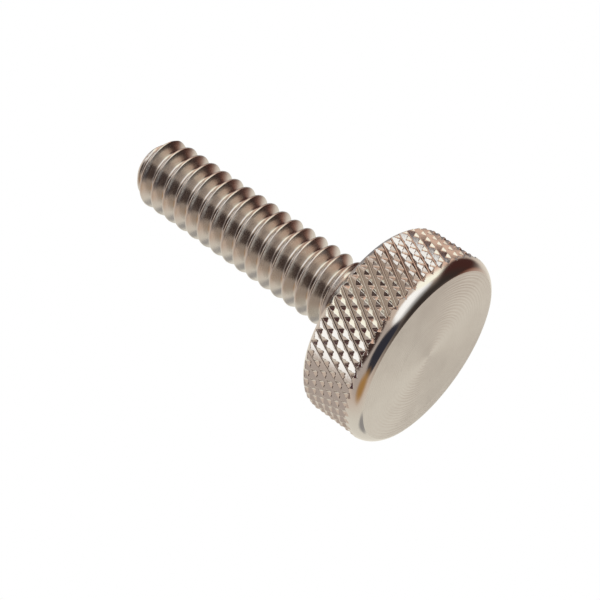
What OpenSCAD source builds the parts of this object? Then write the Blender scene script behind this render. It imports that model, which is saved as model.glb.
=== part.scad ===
// Knurled thumb screw, turned in one piece from stainless steel bar.
//
// It stands on the flat face of its head: Z = 0 is that face, the axis of the screw is the
// Z axis, and the shank points up. All lengths are in millimetres.

/* [Head] */
// Diameter of the head over the points of the knurl
head_d = 13.1; // [11:0.1:18]
// Height of the head, from its flat face to the seat under it
head_h = 4.65; // [3.5:0.05:8]
// How far the edge of the flat face lies inside the knurl points
face_inset = 0.55; // [0.5:0.05:0.9]
// Height of the smooth rounded band between the flat face and the knurl
band_h = 0.6; // [0.4:0.05:0.9]
// Bevel of the head's edge on the shank side
back_bevel = 0.45; // [0.3:0.05:0.8]

/* [Knurl] */
// Number of points round the head
knurl_count = 52; // [36:1:64]
// Angle of the knurl grooves to the axis, in degrees
knurl_angle = 33; // [28:0.5:38]
// Depth of the knurl's deeper grooves, which rise to the right
knurl_depth = 0.35; // [0.15:0.05:0.4]
// Depth of the crossing grooves, as a share of the deeper ones
cross_share = 0.6; // [0.3:0.05:0.9]
// Height of the first row of points above the flat face, before the face is cut
knurl_start = 0.24; // [0:0.02:0.5]

/* [Shank] */
// Outside diameter of the thread
thread_d = 4.8; // [4:0.1:6]
// Number of threads in each inch of shank
threads_per_inch = 24; // [20:1:32]
// Length of the shank, from the seat to the tip
shank_len = 19.05; // [10:0.05:25.4]
// Length of the plain neck between the seat and the thread
neck_len = 1.5; // [1:0.1:3]
// Height above the seat, hidden in the neck, from which the thread winds up
thread_start = 0.28; // [0.1:0.01:0.9]
// Diameter of the flat end of the tip
tip_d = 3.1; // [2.6:0.1:3.4]

/* [Hidden] */

$fn = 72;
steel = [0.74, 0.71, 0.67];

// Head: radii of the knurl points, the groove bottoms, the flat face and the smooth band.
head_r = head_d / 2;
groove_r = head_r - knurl_depth;
face_r = head_r - face_inset;
// the band stays inside the groove bottoms by this, so no groove marks it
band_clear = 0.02;
band_r = groove_r - band_clear;
// radius of the band's section, which runs from the face's edge and ends upright
band_round = (pow(band_r - face_r, 2) + pow(band_h, 2)) / (2 * (band_r - face_r));
// the knurl's outline clears the points by this, so that only its two bevels trim them
point_clear = 0.2;

// the outline has two sides for each point, so that its edges meet those of the knurl
head_sides = 2 * knurl_count;

// Knurl: the angle from point to point, and the height from one row of points to the next.
point_step = 360 / knurl_count;
row_h = PI * head_r / knurl_count / tan(knurl_angle);
// rows run past both ends of the head, where its outline trims them
knurl_z0 = knurl_start - 2 * row_h;
rows = ceil(head_h / row_h) + 3;

// Thread: the crest, the root and the two flanks as parts of one pitch.
thread_r = thread_d / 2;
pitch = 25.4 / threads_per_inch;
crest = 1 / 8;
root = 1 / 6;
flank = (1 - crest - root) / 2;
// each flank leans 30 degrees, so that the groove has an angle of 60 degrees
thread_depth = pitch * flank / tan(30);
tip_r = tip_d / 2;
tip_z = head_h + shank_len;
neck_z = head_h + neck_len;
// the neck covers the facets of the thread's crest by this
neck_cover = 0.01;
// facets round one turn of the thread
turn_sides = 30;
// the section of one pitch has four corners: where each lies along it, and how deep it is
section_at = [0, crest, crest + flank, crest + flank + root];
section_depth = [0, 0, 1, 1];
corners = len(section_at);
// the thread starts inside the neck and runs one pitch past the tip, where it is trimmed
thread_z0 = head_h + thread_start;
thread_z1 = tip_z + pitch;
turns = ceil((thread_z1 - thread_z0) / pitch) + 2;

function at(r, angle, z) = [r * cos(angle), r * sin(angle), z];
function limit(x, low, high) = min(max(x, low), high);
// the groove deepens from nothing to its full depth over the first pitch above the neck
function groove(z) = limit((z - neck_z) / pitch, 0, 1);

// A bar with rows of points all round, between two families of V grooves that cross. The
// deeper grooves run on unbroken; where a crossing groove meets one it ends in a notch.
// Each row holds points and, half a step from them, the corners where grooves cross; the
// next row is turned by half a step.
module knurled_bar() {
    cross_r = head_r - knurl_depth * cross_share;
    // the two ends of a crossing groove, as shares of the way from a point to a corner
    near = (1 - cross_share) / 2;
    far = (1 + cross_share) / 2;
    function index(row, i) = row * knurl_count + (i + knurl_count) % knurl_count;
    function layer(number) = number * (rows + 1) * knurl_count;
    function corner(row, i) = index(row, i);
    function point(row, i) = layer(1) + index(row, i);
    // ends of the crossing groove to the upper right of a point: beside it and above it
    function right(row, i) = layer(2) + index(row, i);
    function upper(row, i) = layer(3) + index(row, i);
    // the corner straight above or straight below a point
    function beside(row, i) = i + row % 2;
    // the point to the lower left of a point
    function behind(row, i) = i - 1 + row % 2;
    function turned(row, i) = (i + (row % 2) / 2) * point_step;
    function level(row) = knurl_z0 + row * row_h;
    bottom = layer(4);
    top = bottom + 1;
    polyhedron(
        points = [
            for (row = [0 : rows], i = [0 : knurl_count - 1])
                at(groove_r, turned(row, i), level(row)),
            for (row = [0 : rows], i = [0 : knurl_count - 1])
                at(head_r, turned(row, i + 0.5), level(row)),
            for (row = [0 : rows], i = [0 : knurl_count - 1])
                at(cross_r, turned(row, i + 0.5 + far / 2), level(row + near)),
            for (row = [0 : rows], i = [0 : knurl_count - 1])
                at(cross_r, turned(row, i + 0.5 + near / 2), level(row + far)),
            [0, 0, level(0)],
            [0, 0, level(rows)]
        ],
        faces = [
            // lower half of each point
            for (row = [1 : rows], i = [0 : knurl_count - 1])
                let (left = behind(row, i), low = corner(row - 1, beside(row, i))) each [
                    [point(row, i), upper(row - 1, left), corner(row, i)],
                    [point(row, i), right(row - 1, left), upper(row - 1, left)],
                    [point(row, i), low, right(row - 1, left)],
                    [point(row, i), corner(row, i + 1), low]
                ],
            // upper half
            for (row = [0 : rows - 1], i = [0 : knurl_count - 1])
                let (high = corner(row + 1, beside(row, i))) each [
                    [point(row, i), corner(row, i), high],
                    [point(row, i), high, upper(row, i)],
                    [point(row, i), upper(row, i), right(row, i)],
                    [point(row, i), right(row, i), corner(row, i + 1)]
                ],
            // the bar's two ends
            for (i = [0 : knurl_count - 1]) each [
                [bottom, corner(0, i), point(0, i)],
                [bottom, point(0, i), corner(0, i + 1)],
                [top, point(rows, i), corner(rows, i)],
                [top, corner(rows, i + 1), point(rows, i)]
            ]
        ]
    );
}

// Half section of the head: flat face, rounded band, the knurl's two bevels and the seat.
module head_outline() {
    outer_r = head_r + point_clear;
    difference() {
        polygon([
            [0, 0], [band_r, 0], [band_r, band_h],
            [outer_r, band_h + outer_r - band_r],
            [outer_r, head_h - back_bevel - point_clear],
            [head_r - back_bevel, head_h], [0, head_h]
        ]);
        difference() {
            translate([face_r, -band_h]) square([knurl_depth + face_inset, 2 * band_h]);
            translate([band_r - band_round, band_h]) circle(r = band_round);
        }
    }
}

module head() {
    intersection() {
        knurled_bar();
        rotate_extrude($fn = head_sides) head_outline();
    }
}

// A bar with a right-hand helical thread, plain where it lies inside the neck.
module threaded_bar() {
    last = turns * corners - 1;
    function height(i, side) = limit(
        thread_z0 + pitch * (floor(i / corners) + section_at[i % corners] + side / turn_sides - 1),
        thread_z0, thread_z1);
    // past the tip the bar is as thin as the thread's root, so that it ends in a flat disc
    function depth(i, z) = z > tip_z + pitch / 2 ? 1 : section_depth[i % corners] * groove(z);
    function spot(i, side) =
        at(thread_r - thread_depth * depth(i, height(i, side)), side * 360 / turn_sides,
            height(i, side));
    // after a whole turn the section has moved on by one pitch
    function index(i, side) = side < turn_sides
        ? i * turn_sides + side
        : (i + corners) * turn_sides;
    points = [for (i = [0 : last], side = [0 : turn_sides - 1]) spot(i, side)];
    function solid(a, b, c) = points[a] != points[b] && points[b] != points[c]
        && points[c] != points[a];
    polyhedron(
        points = points,
        faces = [
            for (side = [0 : turn_sides - 1],
                 i = [0 : side == turn_sides - 1 ? last - corners - 1 : last - 1])
                for (face = [
                    [index(i, side), index(i + 1, side), index(i + 1, side + 1)],
                    [index(i, side), index(i + 1, side + 1), index(i, side + 1)]
                ])
                    if (solid(face[0], face[1], face[2])) face,
            [for (side = [0 : turn_sides - 1]) index(0, side)],
            [for (side = [turn_sides - 1 : -1 : 0]) index(last, side)]
        ]
    );
}

// The thread with its tip turned to a 45 degree cone.
module shank() {
    outer_r = thread_r + point_clear;
    intersection() {
        threaded_bar();
        rotate_extrude() polygon([
            [0, head_h], [outer_r, head_h], [outer_r, tip_z - outer_r + tip_r],
            [tip_r, tip_z], [0, tip_z]
        ]);
    }
}

// The neck, which reaches down into the head.
module neck() {
    translate([0, 0, head_h / 2])
        cylinder(r = thread_r + neck_cover, h = neck_z - head_h / 2);
}

module thumb_screw() {
    color(steel) union() {
        head();
        neck();
        shank();
    }
}

thumb_screw();
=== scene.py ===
"""A knurled thumb screw of stainless steel, standing on the flat face of its head.

The screw is one turned piece, so there is one mesh, with a finish for each of its surfaces.
Lengths are in millimetres until the mesh is made; Blender has them in metres.
"""

import math

import bmesh
import bpy
import numpy as np
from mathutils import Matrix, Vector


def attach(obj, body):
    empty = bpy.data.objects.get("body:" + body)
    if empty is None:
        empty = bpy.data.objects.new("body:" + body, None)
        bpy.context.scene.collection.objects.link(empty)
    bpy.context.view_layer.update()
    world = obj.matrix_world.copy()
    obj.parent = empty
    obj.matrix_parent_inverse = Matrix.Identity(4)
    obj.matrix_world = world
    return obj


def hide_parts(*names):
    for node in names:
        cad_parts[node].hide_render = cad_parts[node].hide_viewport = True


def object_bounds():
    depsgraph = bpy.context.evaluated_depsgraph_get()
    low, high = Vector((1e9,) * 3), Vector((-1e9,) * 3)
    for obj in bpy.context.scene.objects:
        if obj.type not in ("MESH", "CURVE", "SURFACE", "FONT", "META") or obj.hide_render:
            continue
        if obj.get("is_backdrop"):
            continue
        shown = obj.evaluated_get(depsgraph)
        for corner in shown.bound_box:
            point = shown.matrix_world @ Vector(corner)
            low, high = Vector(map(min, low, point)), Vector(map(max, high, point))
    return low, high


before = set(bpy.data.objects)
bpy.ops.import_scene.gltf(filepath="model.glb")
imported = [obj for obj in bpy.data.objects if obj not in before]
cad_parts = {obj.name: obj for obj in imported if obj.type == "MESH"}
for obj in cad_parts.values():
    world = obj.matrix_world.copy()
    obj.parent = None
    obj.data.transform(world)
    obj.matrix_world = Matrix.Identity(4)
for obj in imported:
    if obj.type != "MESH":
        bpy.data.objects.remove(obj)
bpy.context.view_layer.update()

# ---------------------------------------------------------------------------------------
# The screw, turned from stainless steel bar. The head is turned first, then rolled between
# two knurling wheels whose teeth cross, and faced off last. The thread is cut right-handed,
# runs out into a short plain neck under the head, and ends in a turned cone.
# ---------------------------------------------------------------------------------------
MM = 0.001

head_d = 13.1
head_h = 4.65
# from the knurl's points in to the edge of the flat face, and up from it to the points
face_inset = 0.55
band_h = 0.95
back_bevel = 0.45

knurl_count = 52
knurl_angle = 33
knurl_depth = 0.35
# depth of the crossing grooves, as a share of the deeper ones
cross_share = 0.6
# height of a row of points
knurl_start = 0.24
# how softly each family of grooves ends at its bottom and its ridges, as a share of its side
deep_soft = 0.1
cross_soft = 0.25
# below the first height the grooves run out at this slope, and below the second they are gone
run_out = 1.0
run_out_slope = 0.9
knurl_low = 0.6

thread_d = 4.8
threads_per_inch = 24
shank_len = 19.05
neck_len = 1.5
tip_d = 3.1
thread_start = 0.28

head_r = head_d / 2
face_r = head_r - face_inset
band_round = (face_inset**2 + band_h**2) / (2 * face_inset)
edge_round = 0.05
row_h = math.pi * head_r / knurl_count / math.tan(math.radians(knurl_angle))

# the knurl's mesh has this many columns, and rows, from a point to the next corner
knurl_cut = 8
head_columns = 2 * knurl_count * knurl_cut
# the shank is plainer: one column for each of these on the head
coarser = 8
shank_columns = head_columns // coarser

vertices = []
faces = []
zones = []
FACE, BAND, KNURL, SEAT, THREAD = range(5)


def ring(radii, heights, angles):
    """One closed ring of vertices; gives the numbers of its vertices."""
    first = len(vertices)
    x = radii * np.cos(angles)
    y = radii * np.sin(angles)
    z = heights + 0 * angles
    vertices.extend(np.stack([x, y, z], 1) * MM)
    return np.arange(first, first + len(angles))


def strip(low, high, zone, rising=None):
    """Faces between two rings. With rising, each is cut along the diagonal that it names."""
    count = len(low)
    for i in range(count):
        j = (i + 1) % count
        a, b, c, d = low[i], low[j], high[j], high[i]
        if rising is None:
            faces.append((a, b, c, d))
            zones.append(zone)
        elif rising[i]:
            faces.extend([(a, b, c), (a, c, d)])
            zones.extend([zone, zone])
        else:
            faces.extend([(a, b, d), (b, c, d)])
            zones.extend([zone, zone])


def fan(outer, inner, zone):
    """Flat faces between a ring and a coarser one."""
    count = len(inner)
    share = len(outer) // count
    for i in range(count):
        edge = [outer[(share * i + k) % len(outer)] for k in range(share + 1)]
        faces.append((*edge, inner[(i + 1) % count], inner[i]))
        zones.append(zone)


head_angles = np.arange(head_columns) * 2 * math.pi / head_columns
shank_angles = head_angles[::coarser]


def groove(part, soft):
    """Section of a V groove: 0 at its bottom, 1 at the ridges beside it, both a bit rounded."""
    rise = np.abs((part + 1) % 2 - 1)
    rise = np.where(rise < soft, (rise**2 + soft**2) / (2 * soft), rise)
    return np.where(rise > 1 - soft, 1 - ((1 - rise) ** 2 + soft**2) / (2 * soft), rise)


def knurl_radius(column, height):
    """The knurled bar: deep grooves that rise to the right, crossed by shallower ones."""
    along = (height - knurl_start) / row_h
    across = column / knurl_cut
    deep = knurl_depth * (1 - groove(across - along, deep_soft))
    cross = knurl_depth * cross_share * (1 - groove(across + along, cross_soft))
    return head_r - np.maximum(deep, cross)


def outline_radius(height):
    """The turned outline of the head: the rounded band, the points, and the bevel behind."""
    below = np.maximum(band_h - height, 0)
    band = head_r - band_round + np.sqrt(band_round**2 - below**2)
    return np.minimum(band, head_r - back_bevel + head_h - height)


def head_radius(column, height):
    """The head's surface: its outline, with the grooves, which run out into the band."""
    rise = run_out_slope * np.maximum(run_out - height, 0)
    return np.minimum(outline_radius(height), knurl_radius(column, height) + rise)


# the flat face, its softly broken edge and the rounded band
columns = np.arange(head_columns)
flat_r = face_r - edge_round
centre = len(vertices)
vertices.append(np.zeros(3))
face_inner = ring(flat_r / 2, 0.0, shank_angles)
for i in range(shank_columns):
    faces.append((centre, face_inner[(i + 1) % shank_columns], face_inner[i]))
    zones.append(FACE)
level = ring(flat_r, 0.0, head_angles)
fan(level, face_inner, FACE)
lean = math.atan2(outline_radius(edge_round) - face_r, edge_round)
edge_steps = 3
band_steps = 12
for step in range(1, edge_steps + 1):
    turn = step / edge_steps * (math.pi / 2 - lean)
    edge_r = flat_r + edge_round * math.sin(turn)
    edge = ring(edge_r, edge_round * (1 - math.cos(turn)), head_angles)
    strip(level, edge, BAND)
    level = edge
low = edge_round * (1 - math.sin(lean))
for height in np.linspace(low, knurl_low, band_steps + 1)[1:]:
    edge = ring(outline_radius(height), height, head_angles)
    strip(level, edge, BAND)
    level = edge

# the knurl, in rows that fit its points
fine = row_h / knurl_cut
# no row lies closer than this to either end of the knurl
end_gap = 0.01
first_row = math.ceil((knurl_low + end_gap - knurl_start) / fine)
last_row = math.floor((head_h - end_gap - knurl_start) / fine)
heights = [knurl_start + row * fine for row in range(first_row, last_row + 1)] + [head_h]
height = knurl_low
below = outline_radius(knurl_low)
for upper in heights:
    radii = head_radius(columns, upper)
    edge = ring(radii, upper, head_angles)
    # each four-sided patch is cut along the diagonal that lies nearer the true surface
    middle = (height + upper) / 2
    true = head_radius(columns + 0.5, middle)
    radius = below + 0 * true
    rising = np.abs((radius + np.roll(radii, -1)) / 2 - true) <= np.abs(
        (np.roll(radius, -1) + radii) / 2 - true
    )
    strip(level, edge, KNURL, rising)
    below = radii
    level, height = edge, upper

# the seat under the head
neck_r = thread_d / 2
fillet = 0.12
fillet_steps = 4
# the outer ring of the seat's mesh, and the width in which it becomes coarser
seat_rim = 0.5
seat_step = 0.4
inner_r = head_r - back_bevel - seat_rim
seat_edge = ring(inner_r, head_h, head_angles)
strip(level, seat_edge, SEAT)
seat_inner = ring(inner_r - seat_step, head_h, shank_angles)
fan(seat_edge, seat_inner, SEAT)
level = seat_inner
for turn in np.linspace(0, math.pi / 2, fillet_steps + 1):
    fillet_r = neck_r + fillet * (1 - math.sin(turn))
    edge = ring(fillet_r, head_h + fillet * (1 - math.cos(turn)), shank_angles)
    strip(level, edge, SEAT if turn == 0 else THREAD)
    level = edge

# the thread: each pitch has a flat crest, a flat root and two flanks that lean 30 degrees
pitch = 25.4 / threads_per_inch
crest = 1 / 8
root = 1 / 6
flank = (1 - crest - root) / 2
thread_depth = pitch * flank / math.tan(math.radians(30))
tip_z = head_h + shank_len
neck_z = head_h + neck_len
tip_r = tip_d / 2
# height of a crest's middle, at the X axis
thread_z = head_h + thread_start + pitch * crest / 2
# half the width of the rounding at the edges of the crest and the root, in parts of the pitch
crest_soft = 0.055
root_soft = 0.07


def depth_at(part):
    """Depth of the groove, from 0 to 1, at a part of the pitch from the crest's middle."""
    away = abs((part + 0.5) % 1 - 0.5)
    start = crest / 2
    if abs(away - start) < crest_soft:
        return (away - start + crest_soft) ** 2 / (4 * crest_soft * flank)
    if abs(away - start - flank) < root_soft:
        return 1 - (away - start - flank - root_soft) ** 2 / (4 * root_soft * flank)
    return min(max((away - start) / flank, 0), 1)


side = [crest / 2 - crest_soft, crest / 2, crest / 2 + crest_soft, crest / 2 + flank * 0.5]
side += [crest / 2 + flank + root_soft * k for k in (-1, -0.4, 0.2, 1)]
section = side + [1 - part for part in reversed(side)]
first_turn = math.floor((neck_z - thread_z) / pitch) - 2
last_turn = math.ceil((tip_z - thread_z) / pitch) + 1

base = ring(neck_r, neck_z, shank_angles)
strip(level, base, THREAD)
turned = (shank_angles % (2 * math.pi)) / (2 * math.pi)
thread_rows = []
for whole in range(first_turn, last_turn):
    for part in section:
        heights = thread_z + pitch * (whole + part + turned)
        clamped = np.clip(heights, neck_z, tip_z)
        grow = np.clip((clamped - neck_z) / pitch, 0, 1)
        grow = grow * grow * (3 - 2 * grow)
        radii = neck_r - thread_depth * depth_at(part) * grow
        radii = np.minimum(radii, tip_r + tip_z - clamped)
        thread_rows.append(ring(radii, clamped, shank_angles))
# where a turn ends, each row joins the one that lies a whole pitch further on
seam = int(np.argmin(turned))
for row in range(len(thread_rows) - 1):
    for i in range(shank_columns):
        j = (i + 1) % shank_columns
        beside = row + len(section) if j == seam else row
        if beside + 1 < len(thread_rows):
            low, high = thread_rows[row], thread_rows[row + 1]
            faces.append((low[i], thread_rows[beside][j], thread_rows[beside + 1][j], high[i]))
            zones.append(THREAD)

# the flat end of the tip
tip_edge = ring(tip_r, tip_z, shank_angles)
tip_inner = ring(tip_r * 0.5, tip_z, shank_angles)
strip(tip_edge, tip_inner, SEAT)
centre = len(vertices)
vertices.append(np.array([0, 0, tip_z * MM]))
for i in range(shank_columns):
    faces.append((tip_inner[i], tip_inner[(i + 1) % shank_columns], centre))
    zones.append(SEAT)

mesh = bpy.data.meshes.new("knurled_thumb_screw")
mesh.from_pydata([tuple(v) for v in vertices], [], [tuple(int(n) for n in f) for f in faces])
mesh.polygons.foreach_set("material_index", zones)
# where the thread is clipped to the neck and the tip, vertices meet and are joined
same_place = 0.0002 * MM
joined = bmesh.new()
joined.from_mesh(mesh)
bmesh.ops.remove_doubles(joined, verts=joined.verts, dist=same_place)
bmesh.ops.dissolve_degenerate(joined, edges=joined.edges, dist=same_place)
bmesh.ops.recalc_face_normals(joined, faces=joined.faces)
joined.to_mesh(mesh)
joined.free()
sharp_angle = 28
mesh.polygons.foreach_set("use_smooth", [True] * len(mesh.polygons))
mesh.set_sharp_from_angle(angle=math.radians(sharp_angle))

# The knurl is shaded as its true facets: at each corner of a face, as the surface slopes a
# little way inside that face. The slope is taken over a small length to either side.
inward = 0.25
near = 0.002
corners = np.empty(len(mesh.loops), int)
mesh.loops.foreach_get("vertex_index", corners)
places = np.empty(3 * len(mesh.vertices))
mesh.vertices.foreach_get("co", places)
centres = np.empty(3 * len(mesh.polygons))
mesh.polygons.foreach_get("center", centres)
sizes = np.empty(len(mesh.polygons), int)
mesh.polygons.foreach_get("loop_total", sizes)
kinds = np.empty(len(mesh.polygons), int)
mesh.polygons.foreach_get("material_index", kinds)
normals = np.empty(3 * len(mesh.loops))
mesh.corner_normals.foreach_get("vector", normals)
normals = normals.reshape(-1, 3)
owner = np.repeat(np.arange(len(sizes)), sizes)
corner_places = places.reshape(-1, 3)[corners]
inside = corner_places + inward * (centres.reshape(-1, 3)[owner] - corner_places)
rolled = kinds[owner] == KNURL
x, y, z = inside[rolled].T / MM
angle = np.arctan2(y, x)
column = angle / (2 * math.pi) * head_columns
per_mm = head_columns / (2 * math.pi * head_r)
around = head_radius(column + near * per_mm, z) - head_radius(column - near * per_mm, z)
along = head_radius(column, z + near) - head_radius(column, z - near)
around, along = around / (2 * near), along / (2 * near)
across_x, across_y = np.cos(angle), np.sin(angle)
facing = np.stack([across_x + around * across_y, across_y - around * across_x, -along], 1)
normals[rolled] = facing / np.linalg.norm(facing, axis=1, keepdims=True)
mesh.normals_split_custom_set(normals)
screw = bpy.data.objects.new("knurled_thumb_screw", mesh)
bpy.context.scene.collection.objects.link(screw)


def steel(name, roughness, stretch):
    """Bare stainless steel whose shine is stretched across its tool marks."""
    made = bpy.data.materials.new(name)
    made.use_nodes = True
    nodes, links = made.node_tree.nodes, made.node_tree.links
    shader = nodes["Principled BSDF"]
    shader.inputs["Base Color"].default_value = (0.62, 0.6, 0.57, 1)
    shader.inputs["Metallic"].default_value = 1
    shader.inputs["Roughness"].default_value = roughness
    shader.inputs["Anisotropic"].default_value = stretch
    shader.inputs["Anisotropic Rotation"].default_value = 0.25
    around = nodes.new("ShaderNodeTangent")
    around.direction_type = "RADIAL"
    around.axis = "Z"
    links.new(around.outputs["Tangent"], shader.inputs["Tangent"])
    mesh.materials.append(made)
    return nodes, links, shader


def position(nodes, links):
    """Place on the screw in millimetres: its distance from the axis, its height, all three."""
    place = nodes.new("ShaderNodeTexCoord")
    scaled = nodes.new("ShaderNodeVectorMath")
    scaled.operation = "SCALE"
    scaled.inputs["Scale"].default_value = 1 / MM
    links.new(place.outputs["Object"], scaled.inputs[0])
    parts = nodes.new("ShaderNodeSeparateXYZ")
    links.new(scaled.outputs[0], parts.inputs[0])
    flat = nodes.new("ShaderNodeCombineXYZ")
    links.new(parts.outputs["X"], flat.inputs["X"])
    links.new(parts.outputs["Y"], flat.inputs["Y"])
    radius = nodes.new("ShaderNodeVectorMath")
    radius.operation = "LENGTH"
    links.new(flat.outputs[0], radius.inputs[0])
    return radius.outputs["Value"], parts.outputs["Z"], scaled.outputs[0]


def math_node(nodes, links, operation, first, second):
    """A Math node; each input is a number or the output of another node."""
    made = nodes.new("ShaderNodeMath")
    made.operation = operation
    for socket, value in zip(made.inputs, (first, second)):
        if isinstance(value, (int, float)):
            socket.default_value = value
        else:
            links.new(value, socket)
    return made.outputs[0]


def noise(nodes, links, place, per_mm, detail):
    """Noise from 0 to 1: along one number, or through space when place is a vector."""
    made = nodes.new("ShaderNodeTexNoise")
    made.noise_dimensions = "1D" if place.type == "VALUE" else "3D"
    links.new(place, made.inputs["W" if place.type == "VALUE" else "Vector"])
    made.inputs["Scale"].default_value = per_mm
    made.inputs["Detail"].default_value = detail
    return made.outputs["Fac"]


def bump(nodes, links, shader, height, depth):
    """Raise the surface by a height from 0 to 1 times a depth in millimetres."""
    made = nodes.new("ShaderNodeBump")
    made.inputs["Distance"].default_value = depth * MM
    links.new(height, made.inputs["Height"])
    links.new(made.outputs["Normal"], shader.inputs["Normal"])


def uneven(nodes, links, shader, spots, low, high):
    """Let the roughness wander between two values from spot to spot."""
    made = nodes.new("ShaderNodeMapRange")
    links.new(spots, made.inputs["Value"])
    made.inputs["From Min"].default_value = 0.3
    made.inputs["From Max"].default_value = 0.7
    made.inputs["To Min"].default_value = low
    made.inputs["To Max"].default_value = high
    links.new(made.outputs["Result"], shader.inputs["Roughness"])


# the flat face: rings left by the facing tool, a feed apart and not quite even
feed = 0.21
feed_wander = 6
ring_height = 0.5
nodes, links, shader = steel("turned_face", 0.34, 0.5)
radius, _, place = position(nodes, links)
wander = noise(nodes, links, radius, 1.5, 2)
turns = math_node(nodes, links, "MULTIPLY", radius, 2 * math.pi / feed)
wander = math_node(nodes, links, "MULTIPLY", wander, feed_wander)
turns = math_node(nodes, links, "ADD", turns, wander)
rings = math_node(nodes, links, "SINE", turns, 0)
rings = math_node(nodes, links, "MULTIPLY", rings, ring_height)
fine_rings = noise(nodes, links, radius, 9, 3)
bump(nodes, links, shader, math_node(nodes, links, "ADD", rings, fine_rings), 0.008)
uneven(nodes, links, shader, noise(nodes, links, place, 0.6, 4), 0.31, 0.38)

# the rounded band: polished, with faint lines round it
nodes, links, shader = steel("smooth_band", 0.1, 0.3)
_, height, place = position(nodes, links)
bump(nodes, links, shader, noise(nodes, links, height, 14, 3), 0.002)
uneven(nodes, links, shader, noise(nodes, links, place, 1.2, 3), 0.08, 0.13)

# the knurl: burnished by the wheels, with slightly rougher patches
nodes, links, shader = steel("rolled_knurl", 0.1, 0)
_, _, place = position(nodes, links)
bump(nodes, links, shader, noise(nodes, links, place, 9, 3), 0.003)
uneven(nodes, links, shader, noise(nodes, links, place, 3, 3), 0.08, 0.14)

# the seat and the end of the tip: faced like the flat face, with a finer feed
nodes, links, shader = steel("turned_seat", 0.25, 0.5)
radius, _, place = position(nodes, links)
bump(nodes, links, shader, noise(nodes, links, radius, 10, 3), 0.003)
uneven(nodes, links, shader, noise(nodes, links, place, 0.8, 4), 0.22, 0.3)

# the neck and thread: fine lines from the cutting tool run round the flanks
nodes, links, shader = steel("cut_thread", 0.22, 0.8)
radius, height, place = position(nodes, links)
cuts = math_node(nodes, links, "ADD", height, math_node(nodes, links, "MULTIPLY", radius, 1.7))
bump(nodes, links, shader, noise(nodes, links, cuts, 12, 3), 0.003)
uneven(nodes, links, shader, noise(nodes, links, place, 1.5, 3), 0.18, 0.27)

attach(screw, "root")
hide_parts("thumb_screw")

# ---------------------------------------------------------------------------------------
# The studio: a pale room with soft areas of light and shade round the screw, as a window,
# walls and a bench give. The backdrop is white, and a broad lamp above shades the floor.
# ---------------------------------------------------------------------------------------
scene = bpy.context.scene
scene.view_settings.view_transform = "Standard"

world = bpy.data.worlds.new("studio")
scene.world = world
world.use_nodes = True
nodes, links = world.node_tree.nodes, world.node_tree.links
where = nodes.new("ShaderNodeTexCoord")
room = nodes.new("ShaderNodeRGB")
room.outputs[0].default_value = (0.81, 0.66, 0.56, 1)
seen = room.outputs[0]


def area(under, name, azimuth, elevation, reach, edge, colour):
    """A round area of the room, as wide each way as its reach, with a soft edge; in degrees."""
    turn, lift = math.radians(azimuth), math.radians(elevation)
    facing = nodes.new("ShaderNodeVectorMath")
    facing.operation = "DOT_PRODUCT"
    facing.inputs[1].default_value = (
        math.cos(lift) * math.cos(turn),
        math.cos(lift) * math.sin(turn),
        math.sin(lift),
    )
    links.new(where.outputs["Generated"], facing.inputs[0])
    fade = nodes.new("ShaderNodeMapRange")
    fade.interpolation_type = "SMOOTHSTEP"
    fade.inputs["From Min"].default_value = math.cos(math.radians(reach + edge / 2))
    fade.inputs["From Max"].default_value = math.cos(math.radians(max(reach - edge / 2, 0)))
    links.new(facing.outputs["Value"], fade.inputs["Value"])
    over = nodes.new("ShaderNodeMix")
    over.data_type = "RGBA"
    over.label = name
    links.new(fade.outputs["Result"], over.inputs["Factor"])
    links.new(under, over.inputs["A"])
    over.inputs["B"].default_value = (*colour, 1)
    return over.outputs["Result"]


seen = area(seen, "window", -51, -33, 28, 10, (1.5, 1.5, 1.5))
seen = area(seen, "sunlit curtain", -20, -2, 22, 10, (1.5, 1.48, 1.28))
seen = area(seen, "warm wall", -1, 34, 20, 50, (1.05, 0.7, 0.54))
seen = area(seen, "high shelf", -66, 57, 24, 10, (0.1, 0.045, 0.045))
seen = area(seen, "dark cupboard", 29, -21, 32, 14, (0.08, 0.03, 0.025))
seen = area(seen, "wooden box", 73, -26, 8, 36, (0.38, 0.1, 0.04))
seen = area(seen, "shade under the bench", 13, -66, 26, 54, (0.05, 0.04, 0.035))
seen = area(seen, "white wall", 115, 3, 50, 46, (0.94, 0.89, 0.79))
seen = area(seen, "grey box", 125, -26, 10, 10, (0.4, 0.38, 0.37))
seen = area(seen, "bench", -132, -21, 42, 22, (0.6, 0.51, 0.46))
seen = area(seen, "doorway", -114, 16, 30, 10, (0.07, 0.04, 0.035))
seen = area(seen, "stool", -122, -56, 26, 10, (0.045, 0.045, 0.06))
seen = area(seen, "ceiling lamp", -77, 81, 17, 10, (1.5, 1.5, 1.48))
seen = area(seen, "blue coat", 48, 42, 18, 36, (0.22, 0.22, 0.24))
seen = area(seen, "leather bag", -171, -36, 12, 24, (0.52, 0.28, 0.09))

# the camera sees a plain white backdrop
paths = nodes.new("ShaderNodeLightPath")
pick = nodes.new("ShaderNodeMix")
pick.data_type = "RGBA"
links.new(paths.outputs["Is Camera Ray"], pick.inputs["Factor"])
links.new(seen, pick.inputs["A"])
pick.inputs["B"].default_value = (1, 1, 1, 1)
links.new(pick.outputs["Result"], nodes["Background"].inputs["Color"])

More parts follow.
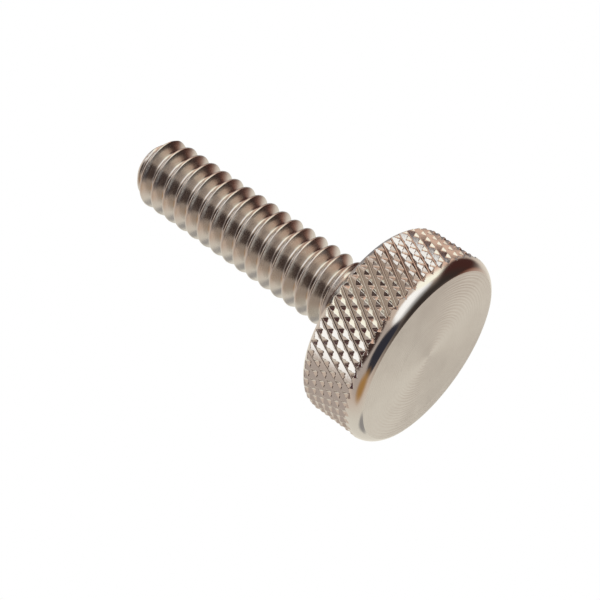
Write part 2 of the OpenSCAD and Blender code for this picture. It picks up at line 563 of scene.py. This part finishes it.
# the floor shows only from above, lies just under the flat face, and isn't mirrored in the
# steel or lighting it
floor_size = 0.4
floor_gap = 0.02 * MM
sheet = bpy.data.meshes.new("floor")
half = floor_size / 2
sheet.from_pydata(
    [(-half, -half, 0), (half, -half, 0), (half, half, 0), (-half, half, 0)], [], [(0, 1, 2, 3)]
)
pale = bpy.data.materials.new("pale_floor")
pale.use_nodes = True
nodes, links = pale.node_tree.nodes, pale.node_tree.links
nodes["Principled BSDF"].inputs["Base Color"].default_value = (0.7, 0.72, 0.74, 1)
nodes["Principled BSDF"].inputs["Roughness"].default_value = 0.9
nodes["Principled BSDF"].inputs["Specular IOR Level"].default_value = 0
side_seen = nodes.new("ShaderNodeNewGeometry")
clear = nodes.new("ShaderNodeBsdfTransparent")
choose = nodes.new("ShaderNodeMixShader")
links.new(side_seen.outputs["Backfacing"], choose.inputs[0])
links.new(nodes["Principled BSDF"].outputs[0], choose.inputs[1])
links.new(clear.outputs[0], choose.inputs[2])
links.new(choose.outputs[0], nodes["Material Output"].inputs["Surface"])
sheet.materials.append(pale)
floor = bpy.data.objects.new("floor", sheet)
floor.location.z = -floor_gap
floor.visible_diffuse = False
floor.visible_glossy = False
floor.visible_transmission = False
floor.visible_shadow = False
scene.collection.objects.link(floor)
floor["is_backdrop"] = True

# the lamp shades the floor and isn't mirrored in the steel
glow = bpy.data.lights.new("softbox", "AREA")
glow.shape = "DISK"
glow.size = 0.16
glow.energy = 1.2
glow.color = (0.85, 0.95, 1)
softbox = bpy.data.objects.new("softbox", glow)
softbox.location = (0.2, -0.16, 0.38)
softbox.rotation_euler = (0.357, 0.485, 0)
softbox.visible_glossy = False
scene.collection.objects.link(softbox)

lens = bpy.data.cameras.new("camera")
lens.lens = 101.354
lens.sensor_width = 36
lens.clip_start = 0.01
lens.clip_end = 10
camera = bpy.data.objects.new("camera", lens)
camera.location = (-1.7757 * MM, -95.0739 * MM, -37.1615 * MM)
camera.rotation_euler = [math.radians(a) for a in (130.273, 47.2915, 31.8545)]
scene.collection.objects.link(camera)
scene.camera = camera

low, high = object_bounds()
